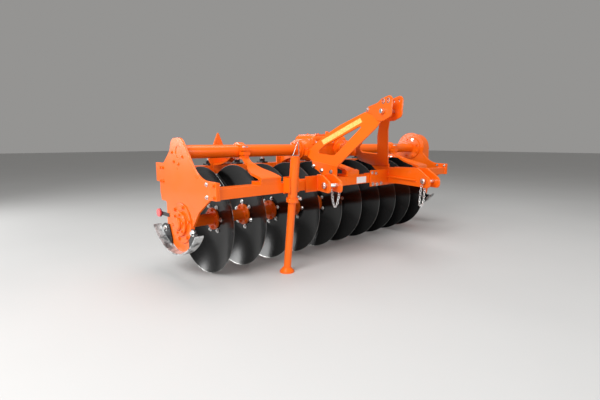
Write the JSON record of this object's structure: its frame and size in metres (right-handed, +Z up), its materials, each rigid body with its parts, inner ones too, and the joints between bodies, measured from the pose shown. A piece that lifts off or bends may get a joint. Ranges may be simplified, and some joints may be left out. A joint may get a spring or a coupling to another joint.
{
  "type": "disc harrow",
  "caption": "Powered mounted disc harrow: one gang of concave discs on a driven rotor under a box and tube frame, skewed three point mast, side drive case, parking stand.",
  "frame": {"origin": "middle of the bounding box on the ground plane", "axes": "+X along the disc gang towards the drive case, +Y towards the rear, +Z up"},
  "size_m": [2.53, 1.1114, 1.0047],
  "materials": {
    "orange_paint": "gloss orange paint",
    "black_paint": "gloss black paint",
    "disc_steel": "gloss black paint, bevelled edge",
    "zinc_steel": "zinc plated",
    "bare_steel": "machined",
    "red_lens": "moulded marker"
  },
  "bodies": {
    "frame": {"side_plate_left": "orange_paint", "side_plate_right": "orange_paint", "main_tube_left": "orange_paint", "main_tube_right": "orange_paint", "gearbox_housing": "orange_paint", "gearbox_cover": "orange_paint", "front_beam": "orange_paint", "front_beam_flanges": "orange_paint", "rear_beam": "orange_paint", "rear_beam_flanges": "orange_paint", "clamp_arms": "orange_paint", "clamp_caps": "orange_paint", "rear_hangers": "orange_paint", "gearbox_ties": "orange_paint", "gearbox_saddle": "orange_paint", "mast_plate_left": "orange_paint", "mast_plate_right": "orange_paint", "mast_heads": "orange_paint", "mast_bases": "orange_paint", "mast_spacer": "orange_paint", "mast_rear_feet": "orange_paint", "hitch_bracket_left": "orange_paint", "hitch_bracket_right": "orange_paint", "bearing_housing_left": "orange_paint", "bearing_housing_right": "orange_paint", "drive_case": "orange_paint", "drive_case_cover": "orange_paint", "drive_flange": "orange_paint", "stand_sleeve": "orange_paint", "depth_skid_left": "black_paint", "depth_skid_right": "black_paint", "scraper_blades": "black_paint", "scraper_clamps": "black_paint", "marker_bracket": "black_paint", "top_link_pin": "zinc_steel", "lower_hitch_pins": "zinc_steel", "stand_pin": "zinc_steel", "side_marker": "red_lens"},
    "rotor": {"rotor_shaft": "bare_steel", "rotor_spools": "orange_paint", "discs": "disc_steel"},
    "pto_shaft": {"pto_input_shaft": "bare_steel"},
    "stand": {"stand_leg": "orange_paint"}
  },
  "joints": [
    {"name": "rotor_spin", "type": "hinge", "parent": "frame", "child": "rotor", "pos_m": [0, 0.2507, 0.305], "axis": [1, 0, 0], "continuous": true},
    {"name": "pto_spin", "type": "hinge", "parent": "frame", "child": "pto_shaft", "pos_m": [0.0034, 0.1538, 0.7], "axis": [-0.3827, -0.9239, 0], "continuous": true},
    {"name": "stand_slide", "type": "slide", "parent": "frame", "child": "stand", "axis": [0, -0.1097, 0.994], "range_m": [0, 0.25]}
  ],
  "couplings": [
    {"joint": "pto_spin", "follows": "rotor_spin", "ratio": 3}
  ]
}
